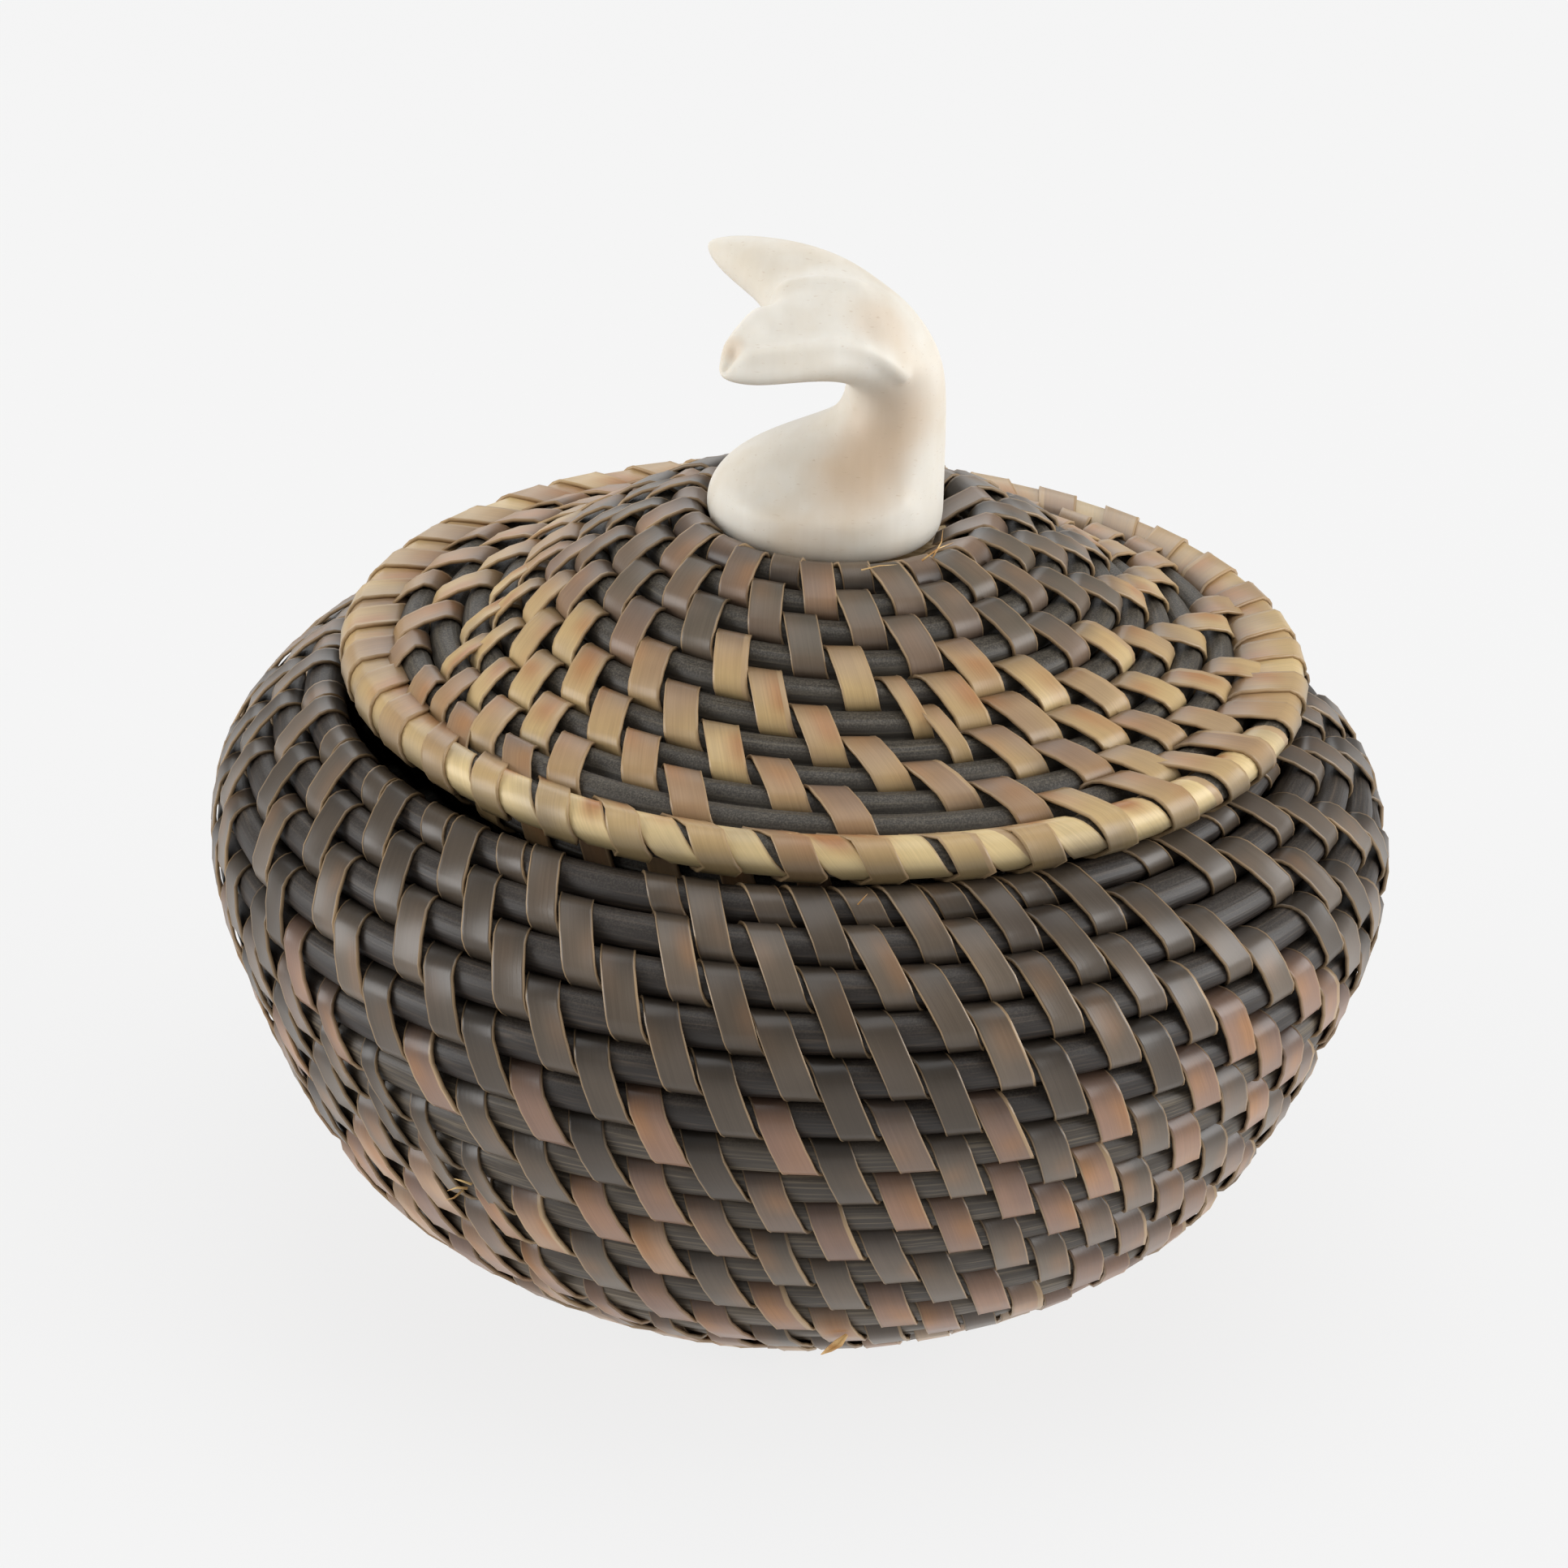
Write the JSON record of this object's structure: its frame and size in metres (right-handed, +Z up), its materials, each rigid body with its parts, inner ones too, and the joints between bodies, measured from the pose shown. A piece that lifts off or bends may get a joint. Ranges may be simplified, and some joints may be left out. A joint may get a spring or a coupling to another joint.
{
  "type": "lidded basket",
  "caption": "Small round coiled basket of dark lashed rod, with a lift-off domed lid and a carved whale-tail handle.",
  "frame": {"origin": "middle of the base, on the surface that the basket stands on", "axes": "+Z up along the spiral's axis, -Y towards the viewer of the picture, flukes towards -X"},
  "size_m": [0.1087, 0.1087, 0.0962],
  "materials": {
    "body_rod": "dark brown fibrous rod, satin, with fine lengthwise lines and pale dust on its upper side",
    "lid_rod": "grey-brown fibrous rod, satin, with fine lengthwise lines",
    "dark_strip": "grey-olive flat strip, satin, with fine lengthwise lines and golden-tan edges",
    "brown_strip": "mauve-brown to reddish tan flat strip, satin, with fine lengthwise lines and paler edges",
    "straw_strip": "pale straw to ochre flat strip, satin",
    "carved_ivory": "polished creamy white ivory or bone, slightly translucent, with tan stains in its hollows",
    "bone_disc": "pale bone, matt, worn at its edge"
  },
  "bodies": {
    "basket": {"base_starter_disc": "bone_disc", "base_coil_rod": "body_rod", "lower_wall_coil_rod": "body_rod", "belly_coil_rod": "body_rod", "mouth_coil_rod": "body_rod", "base_lashing": "dark_strip", "lower_wall_lashing": "brown_strip", "upper_wall_lashing": "dark_strip"},
    "lid": {"lid_starter_disc": "bone_disc", "lid_inner_coil_rod": "lid_rod", "lid_outer_coil_rod": "lid_rod", "lid_rim_rod": "lid_rod", "lid_inner_lashing": "dark_strip", "lid_outer_lashing": "brown_strip", "lid_rim_wrapping": "straw_strip", "lid_flange_coil": "lid_rod", "lid_flange_lashing": "brown_strip", "finial": "carved_ivory", "finial_peg": "bone_disc"}
  },
  "joints": [
    {"name": "lid_lift", "type": "slide", "parent": "basket", "child": "lid", "axis": [0, 0, 1], "range_m": [0, 0.05]}
  ]
}
